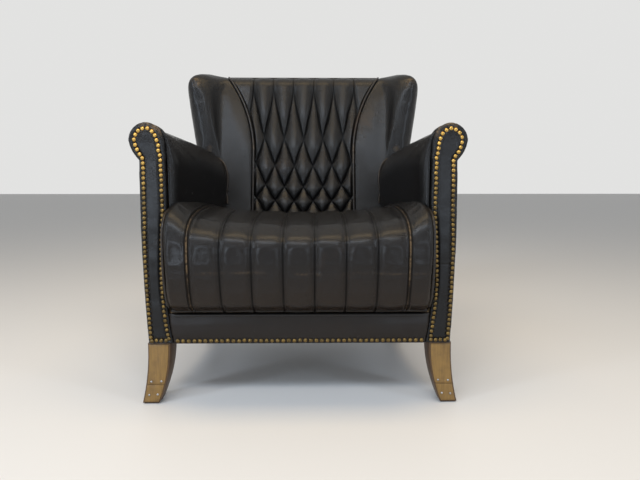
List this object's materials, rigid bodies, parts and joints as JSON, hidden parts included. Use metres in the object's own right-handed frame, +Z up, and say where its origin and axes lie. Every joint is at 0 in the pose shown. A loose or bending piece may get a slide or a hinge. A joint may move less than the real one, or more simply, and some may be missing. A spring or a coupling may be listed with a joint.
{
  "type": "club chair",
  "caption": "Leather club chair with a sprung fluted seat, scrolled padded arms, a raked back with wings and sewn diamonds, nailed facings and short splayed wooden legs.",
  "frame": {"origin": "on the floor, under the middle of the chair's box", "axes": "+Z up; the chair faces -Y; +X is the right side as seen from the front"},
  "size_m": [0.74, 0.7019, 0.85],
  "materials": {
    "leather": "aged semi-gloss black leather",
    "stuffing": "matt felted fibre",
    "lining": "matt woven cloth",
    "frame_wood": "unfinished beech",
    "leg_wood": "golden brown satin",
    "leg_plate": "tan leather, worn",
    "spring_steel": "dull steel",
    "glide": "dark matt"
  },
  "bodies": {
    "root": {"left_arm_facing": "leather", "right_arm_facing": "leather", "left_arm_pad": "leather", "right_arm_pad": "leather", "left_back_wing": "leather", "right_back_wing": "leather", "left_wing_piping": "leather", "right_wing_piping": "leather", "left_outer_arm_panel": "leather", "right_outer_arm_panel": "leather", "tufted_back_panel": "leather", "outer_back_panel": "leather", "apron_panel": "leather", "apron_welt": "leather", "seat_cover": "leather", "back_stuffing": "stuffing", "seat_stuffing": "stuffing", "seat_hessian": "lining", "back_webbing": "lining", "dust_cover": "lining", "left_arm_post": "frame_wood", "right_arm_post": "frame_wood", "left_back_post": "frame_wood", "right_back_post": "frame_wood", "left_side_seat_rail": "frame_wood", "right_side_seat_rail": "frame_wood", "left_arm_top_rail": "frame_wood", "right_arm_top_rail": "frame_wood", "left_arm_tack_rail": "frame_wood", "right_arm_tack_rail": "frame_wood", "rear_seat_rail": "frame_wood", "lower_back_rail": "frame_wood", "top_back_rail": "frame_wood", "front_seat_rail": "frame_wood", "corner_blocks": "frame_wood", "left_front_leg": "leg_wood", "right_front_leg": "leg_wood", "left_rear_leg": "leg_wood", "right_rear_leg": "leg_wood", "left_leg_facing": "leg_plate", "right_leg_facing": "leg_plate", "left_toe_piece": "leg_plate", "right_toe_piece": "leg_plate", "seat_springs": "spring_steel", "spring_clips": "spring_steel", "leg_bolts": "spring_steel", "leg_glides": "glide"}
  },
  "joints": []
}
